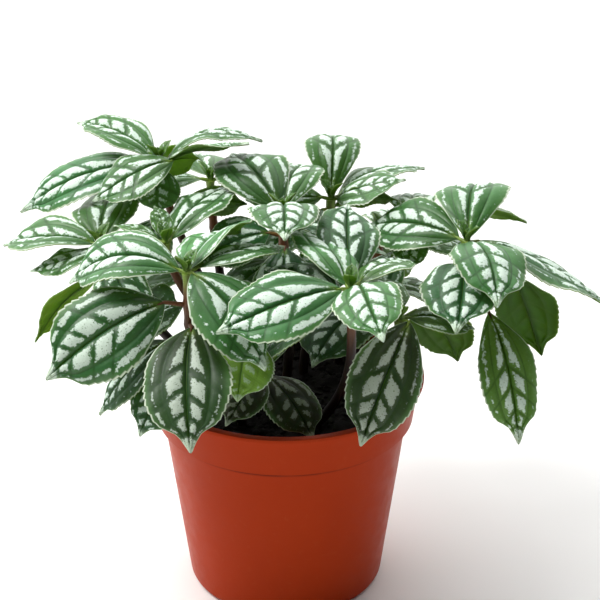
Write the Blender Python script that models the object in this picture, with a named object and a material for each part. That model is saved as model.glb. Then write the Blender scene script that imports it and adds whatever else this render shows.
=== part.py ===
# Potted aluminium plant, Pilea cadierei: thirteen leafy stems in the soil of a thin plastic nursery pot.
# Lengths are in millimetres until a mesh is made. The origin is the middle of the pot's foot, +Z is up,
# and the plant's front, the side that the photograph shows, faces -Y.

import math
import random

import bmesh
import bpy
from mathutils import Vector

MM = 0.001
FIT = 0.3
SLIVER = 0.005

# Pot: a 12 cm pot with a straight collar under a thin turned-out lip
POT_HEIGHT = 97.5
POT_SIDES = 40
LIP_RADIUS = 60.0
LIP_DEPTH = 1.5
COLLAR_TOP_RADIUS = 58.1
COLLAR_FOOT_RADIUS = 55.8
COLLAR_DEPTH = 18.5
COLLAR_LEDGE = 0.9
BODY_TOP_RADIUS = 53.0
FOOT_RADIUS = 43.5
FOOT_EDGE = 2.5
WALL = 1.3
RECESS = 1.2
DISC_RADIUS = 12.0
RING_WIDTH = 2.8
DRAIN_HOLES = 5
DRAIN_RADIUS = 4.5
DRAIN_CIRCLE = 26.0
DRAIN_SIDES = 12
DRAIN_TURN = 0.25
POT_ROUND_TO = 30

# Soil: one root ball up to 11 mm below the lip, its surface dipping at random by up to SOIL_DIP
SOIL_TOP = 86.0
SOIL_DIP = 2.2
SOIL_RINGS = ((44.0, 40), (31.0, 20), (17.0, 10))
SOIL_SEED = 12
STEM_DEPTH = 12.0
HOLE_SIDES = 8
DRILL_OVER = 1.0
SOIL_DRILL_OVER = 5.0

# Stems and petioles: a stem leans out with its sway up to LOW_BEND of its rise and stands straight
# over the last TOP_BEND of it
STEM_RADIUS = 2.2
STEM_TIP_RADIUS = 1.7
STEM_SIDES = 6
STEM_RINGS = 6
STEM_CLEAR = 1.0
LOW_BEND = 0.35
TOP_BEND = 0.30
PETIOLE_RADIUS = 1.1
PETIOLE_RISE = 15
PETIOLE_NECK = 0.7
LONG_PETIOLE = 12.0
PETIOLE_BEND = 0.6
PETIOLE_BOW = 0.08
FOLIAGE_ROUND_TO = 50

# Leaf blades: s runs along the midrib from the petiole to the tip, t runs across from -1 to 1
BLADE_THICK = 0.7
HALF_WIDTH = 0.29
LEAST_HALF_WIDTH = 0.7
ROUNDNESS = 0.75
TIP_FROM = 0.8
TIP_NARROWING = 0.6
BLADE_FOLD = 0.14
BLADE_CUP = 0.24
BOW_AT_FOOT = 1.15
BOW_FALL = 0.3
RIB_STEPS = (0.22, 0.5, 0.78)
LANE = 0.5
FOOT_MARGIN = (0.07, 0.16)
TEETH_FROM = 0.25
TEETH_TO = 0.95
TOOTH_OUT = 0.05
TOOTH_LEAN = 0.62
FIVE_TEETH_OVER = 43
FOUR_TEETH_OVER = 33

# The youngest pair of leaves at the top of each stem, turned from the stem's first leaf
YOUNG_TURNS = (60, 240)
YOUNG_RISE = 56
YOUNG_LENGTH = 9.0
YOUNG_HALF_WIDTH = 2.6
YOUNG_FOLD = 0.5
YOUNG_PETIOLE = 1.6
YOUNG_PETIOLE_RADIUS = 0.7


def leaf(up, heading, rise, length, roll=0, arch=0.1, petiole=4, **shape):
    """A leaf as it sits on its stem.

    up is how far along the stem it grows, heading and rise point its midrib in degrees, roll turns it
    about the midrib and arch bows it. shape may give half (width), fold, right_fold for a right half
    that stands up, and leave_heading and leave_rise for a petiole that sets off another way.
    """
    return dict(up=up, heading=heading, rise=rise, length=length, roll=roll, arch=arch,
                petiole=petiole, **shape)


# Each stem: where it stands in the soil, where its top is, which way it sways first, and its leaves
STEMS = {
    "stem_front_left": dict(foot=(-18, -24), head=(-38, -37, 160), sway=(-22, -14), leaves=(
        leaf(1.00, 164, -14, 49, -22, .20, 3, fold=.3),
        leaf(1.00, 64, 0, 43, -4, .12, 2, half=15, right_fold=.7),
        leaf(1.00, -37, -42, 48, 14, .12, 3, half=18),
        leaf(1.00, 34, -2, 41, -2, .10, 5, half=11),
        leaf(.80, -160, -28, 55, -46, .08, 10, half=18),
        leaf(.68, -88, -38, 53, 0, .12, 7.5, half=17, leave_heading=-78),
        leaf(.55, -168, -47, 42, -20, .10, 10),
        leaf(.46, -133, -48, 34, -12, .10, 9, half=12.5),
        leaf(.56, -104, -50, 27, 0, .10, 23, half=13, leave_heading=0, leave_rise=8),
    )),
    "stem_front_right": dict(foot=(14, -26), head=(26, -44, 156), sway=(18, -6), leaves=(
        leaf(1.00, -156, -10, 53, -26, .08, 4, half=16),
        leaf(1.00, 46, -2, 32, -10, .12, 5, half=11),
        leaf(1.00, 118, 12, 40, 4, .14, 3, half=13.5),
        leaf(1.00, -80, -4, 43, 14, .16, 3.5, half=13.2, leave_heading=0),
        leaf(.84, 166, -40, 40, -10, .08, 7),
        leaf(.88, 136, 0, 42, -16, .10, 6, half=11),
        leaf(.93, 90, 24, 44, 0, .14, 10),
    )),
    "stem_right": dict(foot=(32, -6), head=(75, -6, 160), sway=(10, 0), leaves=(
        leaf(1.00, 76, 3, 46, 0, .28, 3, half=15.5),
        leaf(1.00, 141, -8, 47, -30, .10, 4),
        leaf(1.00, -82, -10, 46, 0, .16, 4, half=15.5),
        leaf(1.00, -14, -24, 60, -6, .05, 5),
        leaf(.88, -98, -14, 45, 0, .16, 8, half=16.5),
        leaf(.86, 22, -68, 43, -46, .10, 23, half=13.5, leave_heading=0, leave_rise=-14),
        leaf(.82, -68, -57, 55, 0, .08, 22, half=12, leave_heading=-46, leave_rise=-38),
    )),
    "stem_left": dict(foot=(-30, -2), head=(-78, 6, 154), sway=(-10, 0), leaves=(
        leaf(1.00, 162, -9, 44, -10, .10, 2, fold=.45),
        leaf(1.00, 83, 12, 45, -4, .12, 2, half=15),
        leaf(.97, 178, -19, 31, -20, .05, 4, half=7, leave_heading=-90),
        leaf(.88, -62, -30, 34, 0, .10, 5, half=12),
        leaf(.76, -150, -38, 37, 66, .10, 8, half=7.5),
        leaf(.62, -10, -4, 17, 40, .10, 4, half=8.5),
    )),
    "stem_back_left": dict(foot=(-22, 20), head=(-54, 35, 181), sway=(-6, 4), leaves=(
        leaf(1.00, 154, 15, 40, -4, .10, 3, fold=.38),
        leaf(1.00, 8, 8, 42, -10, .20, 3, half=10),
        leaf(1.00, -26, 18, 43, -20, .06, 3, half=7),
        leaf(1.00, -160, -22, 38, -22, .14, 8, half=13.5, leave_heading=-40),
        leaf(.96, 174, -22, 64, -24, .10, 4, half=13),
        leaf(.90, 20, 6, 20, -66, .10, 10, half=8.5, leave_heading=112),
        leaf(.72, -122, -34, 34, -10, .10, 8, half=12),
        leaf(.97, -90, -62, 20, 0, .10, 3, half=10),
        leaf(.72, -2, 2, 29, -58, .12, 9, half=9, leave_heading=70),
    )),
    "stem_middle": dict(foot=(0, 4), head=(-1, 8, 168), sway=(4, 4), leaves=(
        leaf(1.00, 120, 14, 44, -14, .18, 3, half=16),
        leaf(1.00, 72, 9, 38, 0, .18, 3, half=13),
        leaf(1.00, -88, 6, 42, 0, .18, 2, half=14),
        leaf(.86, -178, -20, 30, -42, .10, 6, half=12),
        leaf(.90, -16, -14, 38, 0, .10, 8),
        leaf(.80, -84, -54, 31, 0, .10, 6, half=13),
        leaf(.70, -152, -34, 28, -20, .10, 6, half=11),
    )),
    "stem_back": dict(foot=(8, 24), head=(20, 42, 161), sway=(2, 4), leaves=(
        leaf(1.00, 90, 20, 40, 0, .34, 3, half=12.3),
        leaf(1.00, -22, 22, 34, 20, .10, 3, half=13),
        leaf(1.00, 176, -4, 34, -34, .06, 4),
        leaf(1.00, 28, 6, 45, -6, .12, 4, half=13),
        leaf(.84, -88, -34, 38, 0, .10, 8, half=12),
        leaf(.93, -140, -24, 36, 0, .10, 5, half=13),
        leaf(.95, -8, 8, 28, -50, .12, 2, half=9.5),
    )),
    "stem_back_right": dict(foot=(28, 14), head=(54, 28, 156), sway=(4, 4), leaves=(
        leaf(1.00, 84, -6, 36, 0, .12, 3),
        leaf(1.00, -94, -28, 28, 0, .12, 4),
        leaf(1.00, 8, -6, 48, -26, .12, 5),
        leaf(.80, -120, -36, 40, 0, .10, 6, half=12),
        leaf(.45, -128, -16, 46, 0, .10, 3, half=17),
    )),
    "stem_low_right": dict(foot=(32, -26), head=(46, -34, 138), sway=(5, 0), leaves=(
        leaf(1.00, -132, -57, 53, -38, .08, 6, half=14.5, leave_heading=-50),
        leaf(1.00, 34, -52, 38, -30, .08, 9, half=13),
        leaf(1.00, 6, -14, 28, 16, .10, 4, half=9.5),
        leaf(1.00, 100, 6, 30, 0, .10, 4),
    )),
    "stem_centre_left": dict(foot=(-10, -8), head=(-49, -4, 159), sway=(-8, 0), leaves=(
        leaf(1.00, 52, 15, 42, -4, .14, 3, half=13),
        leaf(1.00, 168, 14, 20, 0, .14, 3),
        leaf(1.00, -125, 0, 15, 0, .10, 3),
        leaf(1.00, 112, 40, 16, 0, .10, 3),
        leaf(.60, -60, -45, 32, 0, .10, 5, half=12),
        leaf(.60, -150, -20, 34, 0, .10, 6, half=12),
    )),
    "stem_low_front": dict(foot=(-6, -14), head=(-9, -22, 107), sway=(0, 0), leaves=(
        leaf(1.00, -55, -23, 37, 0, .10, 2, half=12),
        leaf(1.00, -115, -14, 32, 0, .10, 3),
        leaf(1.00, 90, 10, 30, 0, .10, 4),
    )),
    "stem_rear_left": dict(foot=(-26, 30), head=(-34, 58, 164), sway=(0, 0), leaves=(
        leaf(1.00, 100, -8, 44, 0, .10, 4),
        leaf(1.00, -175, -14, 42, 0, .10, 4),
        leaf(1.00, 5, 4, 40, -10, .10, 4, half=13),
        leaf(.80, 140, -40, 42, 0, .10, 6),
        leaf(.72, -40, -36, 38, 0, .10, 6, half=13),
        leaf(.44, 168, -14, 44, 0, .10, 8, half=15),
    )),
    "stem_rear_right": dict(foot=(24, 34), head=(44, 60, 138), sway=(0, 0), leaves=(
        leaf(1.00, 80, -14, 44, 0, .10, 4),
        leaf(1.00, -5, -16, 44, 0, .10, 4),
        leaf(1.00, 165, -6, 38, 0, .10, 4),
        leaf(.80, 70, -50, 42, 0, .10, 6),
        leaf(.56, 118, -22, 44, 0, .10, 8, half=15),
        leaf(.50, 12, -18, 42, 0, .10, 8, half=14),
    )),
}


def remove_everything():
    """Start from an empty scene."""
    for item in list(bpy.data.objects):
        bpy.data.objects.remove(item)


def pointing(heading, rise):
    """A unit vector from a compass heading about +Z and a rise above level, in degrees."""
    turn = math.radians(heading)
    lift = math.radians(rise)
    return Vector((math.cos(lift) * math.cos(turn), math.cos(lift) * math.sin(turn), math.sin(lift)))


def zipped(left, right):
    """Triangles between two rows of (place, vertex), each sorted by its place along the row."""
    triangles = []
    i = 0
    j = 0
    while i < len(left) - 1 or j < len(right) - 1:
        left_next = i < len(left) - 1 and (j == len(right) - 1 or left[i + 1][0] <= right[j + 1][0])
        corner = left[i + 1][1] if left_next else right[j + 1][1]
        triangle = (left[i][1], right[j][1], corner)
        i += left_next
        j += not left_next
        if len(set(triangle)) == 3:
            triangles.append(triangle)
    return triangles


def mesh_object(name, points, faces):
    """A closed mesh, faces outward, as an object of the scene."""
    mesh = bpy.data.meshes.new(name)
    mesh.from_pydata([point * MM for point in points], [], faces)
    work = bmesh.new()
    work.from_mesh(mesh)
    bmesh.ops.recalc_face_normals(work, faces=work.faces)
    work.to_mesh(mesh)
    work.free()
    item = bpy.data.objects.new(name, mesh)
    bpy.context.scene.collection.objects.link(item)
    return item


def evaluated_mesh(item):
    """The mesh of an object with its modifiers worked out."""
    bpy.context.view_layer.update()
    return bpy.data.meshes.new_from_object(item.evaluated_get(bpy.context.evaluated_depsgraph_get()))


def remove_items(items):
    """Delete objects with their meshes."""
    for item in items:
        mesh = item.data
        bpy.data.objects.remove(item)
        bpy.data.meshes.remove(mesh)


def apply_boolean(item, others, operation, solver="EXACT"):
    """Cut or join an object with a collection of others, which are then gone."""
    group = bpy.data.collections.new("others")
    bpy.context.scene.collection.children.link(group)
    for other in others:
        group.objects.link(other)
        bpy.context.scene.collection.objects.unlink(other)
    modifier = item.modifiers.new(operation.title(), "BOOLEAN")
    modifier.operation = operation
    modifier.operand_type = "COLLECTION"
    modifier.collection = group
    modifier.solver = solver
    mesh = evaluated_mesh(item)
    item.modifiers.clear()
    old = item.data
    item.data = mesh
    bpy.data.meshes.remove(old)
    remove_items(others)
    bpy.data.collections.remove(group)


def largest_body(mesh):
    """Keep the faces that hang together with the biggest count, so no scrap or sealed hollow stays."""
    unseen = set(mesh.faces)
    best = set()
    while unseen:
        body = set()
        front = [unseen.pop()]
        while front:
            face = front.pop()
            body.add(face)
            for edge in face.edges:
                for other in edge.link_faces:
                    if other in unseen:
                        unseen.remove(other)
                        front.append(other)
        if len(body) > len(best):
            best = body
    bmesh.ops.delete(mesh, geom=[face for face in mesh.faces if face not in best], context="FACES")


def tidy_mesh(item):
    """Close up the slivers that a Boolean leaves and keep one body of triangles."""
    work = bmesh.new()
    work.from_mesh(item.data)
    bmesh.ops.triangulate(work, faces=work.faces)
    bmesh.ops.dissolve_degenerate(work, edges=work.edges, dist=SLIVER * MM)
    bmesh.ops.triangulate(work, faces=work.faces)
    largest_body(work)
    work.to_mesh(item.data)
    work.free()


def shade_round(item, angle):
    """Smooth shading that keeps edges sharper than the angle, in degrees."""
    item.data.shade_smooth()
    item.data.set_sharp_from_angle(angle=math.radians(angle))


def material(name, colour, roughness):
    """A plain Principled BSDF material."""
    made = bpy.data.materials.new(name)
    made.use_nodes = True
    shader = made.node_tree.nodes["Principled BSDF"]
    shader.inputs["Base Color"].default_value = (*colour, 1.0)
    shader.inputs["Roughness"].default_value = roughness
    shader.inputs["Metallic"].default_value = 0.0
    return made


def pot_material():
    """Terracotta-coloured polypropylene with a soft sheen."""
    return material("pot_plastic", (0.36, 0.055, 0.018), 0.42)


def soil_material():
    """Damp peat, nearly black."""
    return material("potting_soil", (0.022, 0.014, 0.010), 0.95)


def leaf_material():
    """Fleshy dark green leaf; the silver patches are only colour."""
    return material("leaf", (0.055, 0.16, 0.06), 0.40)


def circle_point(radius, k, sides, z):
    """One corner of a regular polygon about the axis."""
    turn = 2 * math.pi * k / sides
    return Vector((radius * math.cos(turn), radius * math.sin(turn), z))


def turned(name, profile, sides):
    """A solid turned about the axis from a half section that starts and ends on it."""
    points = []
    rings = []
    for radius, z in profile:
        if radius == 0:
            points.append(Vector((0, 0, z)))
            rings.append([len(points) - 1] * sides)
        else:
            rings.append([len(points) + k for k in range(sides)])
            points += [circle_point(radius, k, sides, z) for k in range(sides)]
    faces = []
    for low, high in zip(rings, rings[1:]):
        for k in range(sides):
            after = (k + 1) % sides
            corners = dict.fromkeys((low[k], low[after], high[after], high[k]))
            faces.append(tuple(corners))
    return mesh_object(name, points, faces)


def peg(name, x, y, radius, low, high, sides):
    """An upright prism that stands in for a drill."""
    points = []
    for z in (low, high):
        points += [circle_point(radius, k, sides, z) + Vector((x, y, 0)) for k in range(sides)]
    faces = [tuple(range(sides)), tuple(range(sides, 2 * sides))]
    faces += [(k, (k + 1) % sides, sides + (k + 1) % sides, sides + k) for k in range(sides)]
    return mesh_object(name, points, faces)


def body_radius(z):
    """Outer radius of the tapered body below the collar."""
    return FOOT_RADIUS + (BODY_TOP_RADIUS - FOOT_RADIUS) * z / (POT_HEIGHT - COLLAR_DEPTH)


def inner_profile():
    """Inside of the pot from the floor's edge to the lip, as (radius, z)."""
    collar_z = POT_HEIGHT - COLLAR_DEPTH
    floor = RECESS + WALL
    return [
        (body_radius(floor) - WALL - FOOT_EDGE, floor),
        (body_radius(floor + FOOT_EDGE) - WALL, floor + FOOT_EDGE),
        (BODY_TOP_RADIUS - WALL, collar_z - COLLAR_LEDGE),
        (COLLAR_FOOT_RADIUS - WALL, collar_z + WALL - COLLAR_LEDGE),
        (COLLAR_TOP_RADIUS - WALL, POT_HEIGHT),
    ]


def pot_profile():
    """Half section of the pot: foot disc, recess, foot ring, wall, collar, lip and back down inside."""
    collar_z = POT_HEIGHT - COLLAR_DEPTH
    ring = FOOT_RADIUS - FOOT_EDGE
    lip_z = POT_HEIGHT - LIP_DEPTH
    outside = [(0, 0), (DISC_RADIUS, 0), (DISC_RADIUS + RECESS, RECESS)]
    outside += [(ring - RING_WIDTH - RECESS, RECESS), (ring - RING_WIDTH, 0), (ring, 0)]
    for degrees in (45, 90):
        turn = math.radians(degrees)
        outside.append((ring + FOOT_EDGE * math.sin(turn), FOOT_EDGE * (1 - math.cos(turn))))
    outside += [(BODY_TOP_RADIUS, collar_z - COLLAR_LEDGE), (COLLAR_FOOT_RADIUS, collar_z)]
    outside += [(COLLAR_TOP_RADIUS, lip_z), (LIP_RADIUS, lip_z), (LIP_RADIUS, POT_HEIGHT)]
    inside = list(reversed(inner_profile()))
    return outside + inside + [(0, RECESS + WALL)]


def make_pot():
    """The pot, with drain holes through the recessed part of its base."""
    pot = turned("pot", pot_profile(), POT_SIDES)
    drills = []
    for k in range(DRAIN_HOLES):
        spot = circle_point(DRAIN_CIRCLE, k + DRAIN_TURN, DRAIN_HOLES, 0)
        top = RECESS + WALL + DRILL_OVER
        drills.append(peg("drill", spot.x, spot.y, DRAIN_RADIUS, -DRILL_OVER, top, DRAIN_SIDES))
    apply_boolean(pot, drills, "DIFFERENCE")
    tidy_mesh(pot)
    shade_round(pot, POT_ROUND_TO)
    pot.data.materials.append(pot_material())


def make_soil():
    """The root ball and soil in one, a fit's gap clear of the pot, with a plain hole for each stem."""
    draw = random.Random(SOIL_SEED)
    wall = [(radius - FIT, z + FIT) for radius, z in inner_profile()]
    (low_r, low_z), (high_r, high_z) = wall[3], wall[4]
    rim_z = SOIL_TOP - SOIL_DIP / 2
    rim_r = low_r + (high_r - low_r) * (rim_z - low_z) / (high_z - low_z)
    side = wall[:4] + [(rim_r, rim_z)]
    points = [Vector((0, 0, wall[0][1]))]
    rows = []
    for radius, z in side:
        rows.append([(k / POT_SIDES, len(points) + k) for k in range(POT_SIDES)])
        points += [circle_point(radius, k, POT_SIDES, z) for k in range(POT_SIDES)]
    for radius, count in SOIL_RINGS:
        rows.append([(k / count, len(points) + k) for k in range(count)])
        points += [circle_point(radius, k, count, SOIL_TOP - SOIL_DIP * draw.random()) for k in range(count)]
    points.append(Vector((0, 0, SOIL_TOP - SOIL_DIP / 2)))
    closed = [[(0, 0), (1, 0)]]
    closed += [row + [(1, row[0][1])] for row in rows]
    closed.append([(0, len(points) - 1), (1, len(points) - 1)])
    faces = []
    for low, high in zip(closed, closed[1:]):
        faces += zipped(low, high)
    soil = mesh_object("soil", points, faces)
    drills = []
    hole = STEM_RADIUS / math.cos(math.pi / HOLE_SIDES) + FIT
    for stem in STEMS.values():
        x, y = stem["foot"]
        low = SOIL_TOP - STEM_DEPTH - FIT
        drills.append(peg("drill", x, y, hole, low, SOIL_TOP + SOIL_DRILL_OVER, HOLE_SIDES))
    apply_boolean(soil, drills, "DIFFERENCE")
    tidy_mesh(soil)
    soil.data.materials.append(soil_material())


def stem_point(stem, up):
    """A place on the stem's curve, 0 where it leaves the soil and 1 at its top."""
    x, y = stem["foot"]
    head = Vector(stem["head"])
    rise = head.z - SOIL_TOP
    start = Vector((x, y, SOIL_TOP + STEM_CLEAR))
    lower = Vector((x + stem["sway"][0], y + stem["sway"][1], SOIL_TOP + LOW_BEND * rise))
    upper = head - Vector((0, 0, TOP_BEND * rise))
    down = 1 - up
    return down ** 3 * start + 3 * down ** 2 * up * lower + 3 * down * up ** 2 * upper + up ** 3 * head


def tube(path, radii, sides):
    """A closed tube along a path, as points and faces."""
    points = []
    for i, middle in enumerate(path):
        along = (path[min(i + 1, len(path) - 1)] - path[max(i - 1, 0)]).normalized()
        across = along.cross(Vector((0.3, 1.0, 0.2))).normalized()
        other = along.cross(across)
        for k in range(sides):
            turn = 2 * math.pi * k / sides
            points.append(middle + radii[i] * (math.cos(turn) * across + math.sin(turn) * other))
    faces = [tuple(range(sides)), tuple(range(len(points) - sides, len(points)))]
    for low in range(0, len(points) - sides, sides):
        for k in range(sides):
            after = (k + 1) % sides
            faces.append((low + k, low + after, low + sides + after, low + sides + k))
    return points, faces


class Blade:
    """The middle surface of one leaf blade."""

    def __init__(self, base, row):
        self.base = base
        self.length = row["length"]
        self.arch = row["arch"]
        self.half = row.get("half", HALF_WIDTH * self.length)
        self.fold = row.get("fold", BLADE_FOLD)
        self.right_fold = row.get("right_fold", self.fold)
        turn = math.radians(row["heading"])
        level = Vector((-math.sin(turn), math.cos(turn), 0))
        self.along = pointing(row["heading"], row["rise"])
        upward = self.along.cross(level)
        roll = math.radians(row["roll"])
        self.across = level * math.cos(roll) + upward * math.sin(roll)
        self.up = upward * math.cos(roll) - level * math.sin(roll)

    def rib(self, s):
        """The midrib, bowed upward."""
        bow = 4 * self.arch * self.length * s * (1 - s) * (BOW_AT_FOOT - BOW_FALL * s)
        return self.base + self.along * (self.length * s) + self.up * bow

    def half_width(self, s):
        """Half the blade's width: widest past the middle, with a drawn-out tip."""
        tip = min(max((s - TIP_FROM) / (1 - TIP_FROM), 0), 1)
        swell = max(math.sin(math.pi * min(s, 1)), 0) ** ROUNDNESS
        width = self.half * swell * (1 - TIP_NARROWING * tip)
        return max(width, LEAST_HALF_WIDTH) if s < 0.5 else width

    def point(self, s, t):
        """A place on the blade, creased up from the midrib and cupped down at the margins."""
        width = self.half_width(s)
        along = (self.rib(s + 0.001) - self.rib(s - 0.001)).normalized()
        up = (self.up - self.up.dot(along) * along).normalized()
        fold = self.right_fold if t < 0 else self.fold
        lift = fold * abs(t) - BLADE_CUP * t * t
        return self.rib(s) + self.across * (width * t) + up * (width * lift)

    def normal(self, s, t):
        """The blade's upper side at a place."""
        s = min(max(s, 0.04), 0.96)
        lengthwise = self.point(s + 0.02, t) - self.point(s - 0.02, t)
        crosswise = self.point(s, t + 0.1) - self.point(s, t - 0.1)
        return lengthwise.cross(crosswise).normalized()


def margin(side, teeth):
    """The toothed edge of a blade on one side, as (s, t) places from base to tip."""
    places = [(s, side) for s in FOOT_MARGIN]
    pitch = (TEETH_TO - TEETH_FROM) / teeth
    for k in range(teeth):
        notch = TEETH_FROM + k * pitch
        places.append((notch, side * (1 - TOOTH_OUT)))
        places.append((notch + TOOTH_LEAN * pitch, side * (1 + TOOTH_OUT)))
    return places


def teeth_of(length):
    """Fewer teeth on a smaller leaf."""
    if length > FIVE_TEETH_OVER:
        return 5
    if length > FOUR_TEETH_OVER:
        return 4
    return 3


def ring(middle, along, up, radius):
    """Four corners of a petiole's cross section: above, right, below and left of its middle."""
    above = (up - up.dot(along) * along).normalized() * radius
    right = along.cross(above)
    return [middle + above, middle + right, middle - above, middle - right]


def leaf_solid(blade, start, leaving, columns, radius):
    """A petiole and the blade of even thickness that it widens into, as one closed solid.

    The blade is split alike on both faces, over columns of (s, t) places from its right margin to its left.
    """
    reach = (blade.base - start).length
    points = ring(start, leaving, blade.up, radius)
    if reach > LONG_PETIOLE:
        bend = start.lerp(blade.base, PETIOLE_BEND) + Vector((0, 0, PETIOLE_BOW * reach))
        points += ring(bend, leaving, blade.up, radius)
    foot = len(points)
    points += ring(blade.base, (leaving + blade.along).normalized(), blade.up, PETIOLE_NECK * radius)
    faces = [(3, 2, 1, 0)]
    for low in range(0, foot, 4):
        for k in range(4):
            after = (k + 1) % 4
            faces.append((low + k, low + after, low + 4 + after, low + 4 + k))
    above, right, below, left = range(foot, foot + 4)
    places = [(1, 0)] + [place for column in columns for place in column]
    sheets = []
    for side, middle in ((1, above), (-1, below)):
        first = len(points)
        points += [blade.point(s, t) + blade.normal(s, t) * (side * BLADE_THICK / 2) for s, t in places]
        rows = []
        spot = first + 1
        for column in columns:
            begin = {-1: right, 1: left}.get(round(column[0][1]), middle)
            rows.append([(0, begin)] + [(s, spot + i) for i, (s, _) in enumerate(column)] + [(1, first)])
            spot += len(column)
        for one, other in zip(rows, rows[1:]):
            faces += zipped(one, other)
        sheets.append(rows)
    for upper, lower in ((sheets[0][0], sheets[1][0]), (sheets[0][-1], sheets[1][-1])):
        faces += zipped(upper, [(place + 0.001, corner) for place, corner in lower])
    return points, faces


def grown_leaf(stem, row):
    """A full leaf with toothed margins, its petiole rooted inside the stem."""
    start = stem_point(stem, row["up"])
    leaving = pointing(row.get("leave_heading", row["heading"]), row.get("leave_rise", PETIOLE_RISE))
    blade = Blade(start + leaving * row["petiole"], row)
    teeth = teeth_of(blade.length)
    steps = RIB_STEPS if teeth > 3 else RIB_STEPS[::2]
    columns = [margin(-1, teeth)]
    for t in (-LANE, 0, LANE):
        columns.append([(s, t) for s in steps])
    columns.append(margin(1, teeth))
    return leaf_solid(blade, start, leaving, columns, PETIOLE_RADIUS)


def young_leaf(stem, heading):
    """A small plain leaf of the youngest pair, at the stem's top."""
    top = Vector(stem["head"])
    row = leaf(1, heading, YOUNG_RISE, YOUNG_LENGTH, half=YOUNG_HALF_WIDTH, fold=YOUNG_FOLD)
    along = pointing(heading, YOUNG_RISE)
    blade = Blade(top + along * YOUNG_PETIOLE, row)
    columns = [[(0.25, t), (0.65, t)] if t else [(0.45, 0)] for t in (-1, 0, 1)]
    return leaf_solid(blade, top, along, columns, YOUNG_PETIOLE_RADIUS)


def make_stem(name, stem, foliage):
    """One stem with all its leaves, fused into one body."""
    x, y = stem["foot"]
    path = [Vector((x, y, SOIL_TOP - STEM_DEPTH))]
    path += [stem_point(stem, k / STEM_RINGS) for k in range(STEM_RINGS + 1)]
    last = len(path) - 1
    slimming = (STEM_RADIUS - STEM_TIP_RADIUS) / (last - 1)
    radii = [STEM_RADIUS - slimming * max(i - 1, 0) for i in range(last + 1)]
    item = mesh_object(name, *tube(path, radii, STEM_SIDES))
    solids = []
    for row in stem["leaves"]:
        solids.append(grown_leaf(stem, row))
    for turn in YOUNG_TURNS:
        solids.append(young_leaf(stem, stem["leaves"][0]["heading"] + turn))
    others = [mesh_object("piece", *solid) for solid in solids]
    apply_boolean(item, others, "UNION")
    tidy_mesh(item)
    shade_round(item, FOLIAGE_ROUND_TO)
    item.data.materials.append(foliage)


def main():
    remove_everything()
    make_pot()
    make_soil()
    foliage = leaf_material()
    for name, stem in STEMS.items():
        make_stem(name, stem, foliage)


main()
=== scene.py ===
# The looks of a potted aluminium plant, Pilea cadierei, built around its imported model.
# Lengths are in millimetres until a mesh is made, and the plant's front faces -Y.

import math
import random

import bmesh
import bpy
import numpy as np
from mathutils import Matrix, Vector, noise


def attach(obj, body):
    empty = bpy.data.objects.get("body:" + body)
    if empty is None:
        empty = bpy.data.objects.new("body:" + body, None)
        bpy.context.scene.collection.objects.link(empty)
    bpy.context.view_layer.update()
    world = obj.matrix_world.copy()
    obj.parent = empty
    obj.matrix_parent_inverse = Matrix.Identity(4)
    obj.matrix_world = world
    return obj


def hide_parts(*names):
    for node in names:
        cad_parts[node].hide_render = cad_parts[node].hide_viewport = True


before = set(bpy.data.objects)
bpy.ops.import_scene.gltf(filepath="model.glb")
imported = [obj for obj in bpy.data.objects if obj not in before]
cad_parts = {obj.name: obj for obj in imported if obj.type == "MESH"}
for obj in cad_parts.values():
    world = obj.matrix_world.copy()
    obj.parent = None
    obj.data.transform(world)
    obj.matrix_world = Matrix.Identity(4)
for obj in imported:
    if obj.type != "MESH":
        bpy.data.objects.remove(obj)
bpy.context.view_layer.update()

MM = 0.001
ROOT = "root"

# Pot: the half section of its solid, in fine facets and with eased edges. Painted shade lies in a
# dark line just under the collar's corner. An edge that turns by more than POT_SHARP degrees stays crisp.
POT_HEIGHT = 97.5
POT_FACETS = 144
POT_SHARP = 35
LIP_RADIUS = 60.0
LIP_DEPTH = 1.5
COLLAR_TOP_RADIUS = 58.1
COLLAR_FOOT_RADIUS = 55.8
COLLAR_DEPTH = 18.5
COLLAR_LEDGE = 0.9
BODY_TOP_RADIUS = 53.0
FOOT_RADIUS = 43.5
FOOT_EDGE = 2.5
WALL = 1.3
RECESS = 1.2
DISC_RADIUS = 12.0
RING_WIDTH = 2.8
DRAIN_HOLES = 5
DRAIN_RADIUS = 4.5
DRAIN_CIRCLE = 26.0
DRAIN_TURN = 0.25
DRILL_FACETS = 48
EASED_EDGE = 0.3
EASED_FROM = 28
SHADE_LINE_HEIGHT = POT_HEIGHT - COLLAR_DEPTH - COLLAR_LEDGE - 0.5

# Soil: damp peat, its surface rough by a couple of millimetres and strewn with crumbs. SOIL_SIDE is
# its radius and height at the rim and at each turn down its side.
SOIL_TOP = 86.0
SOIL_ROUGH = 1.6
SOIL_FACETS = 96
SOIL_RINGS = 24
SOIL_RING_WIDTH = 2.1
SOIL_LUMP = 7
SOIL_SHARP = 40
SOIL_SIDE = ((54.9, 84.6), (54.0, 80.4), (51.2, 77.5), (41.8, 3.2))
CRUMBS = 1100
CRUMB_KINDS = 6
CRUMB_KNOCKS = 0.45
CRUMB_CLEAR = 3
SOIL_SEED = 12

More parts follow.
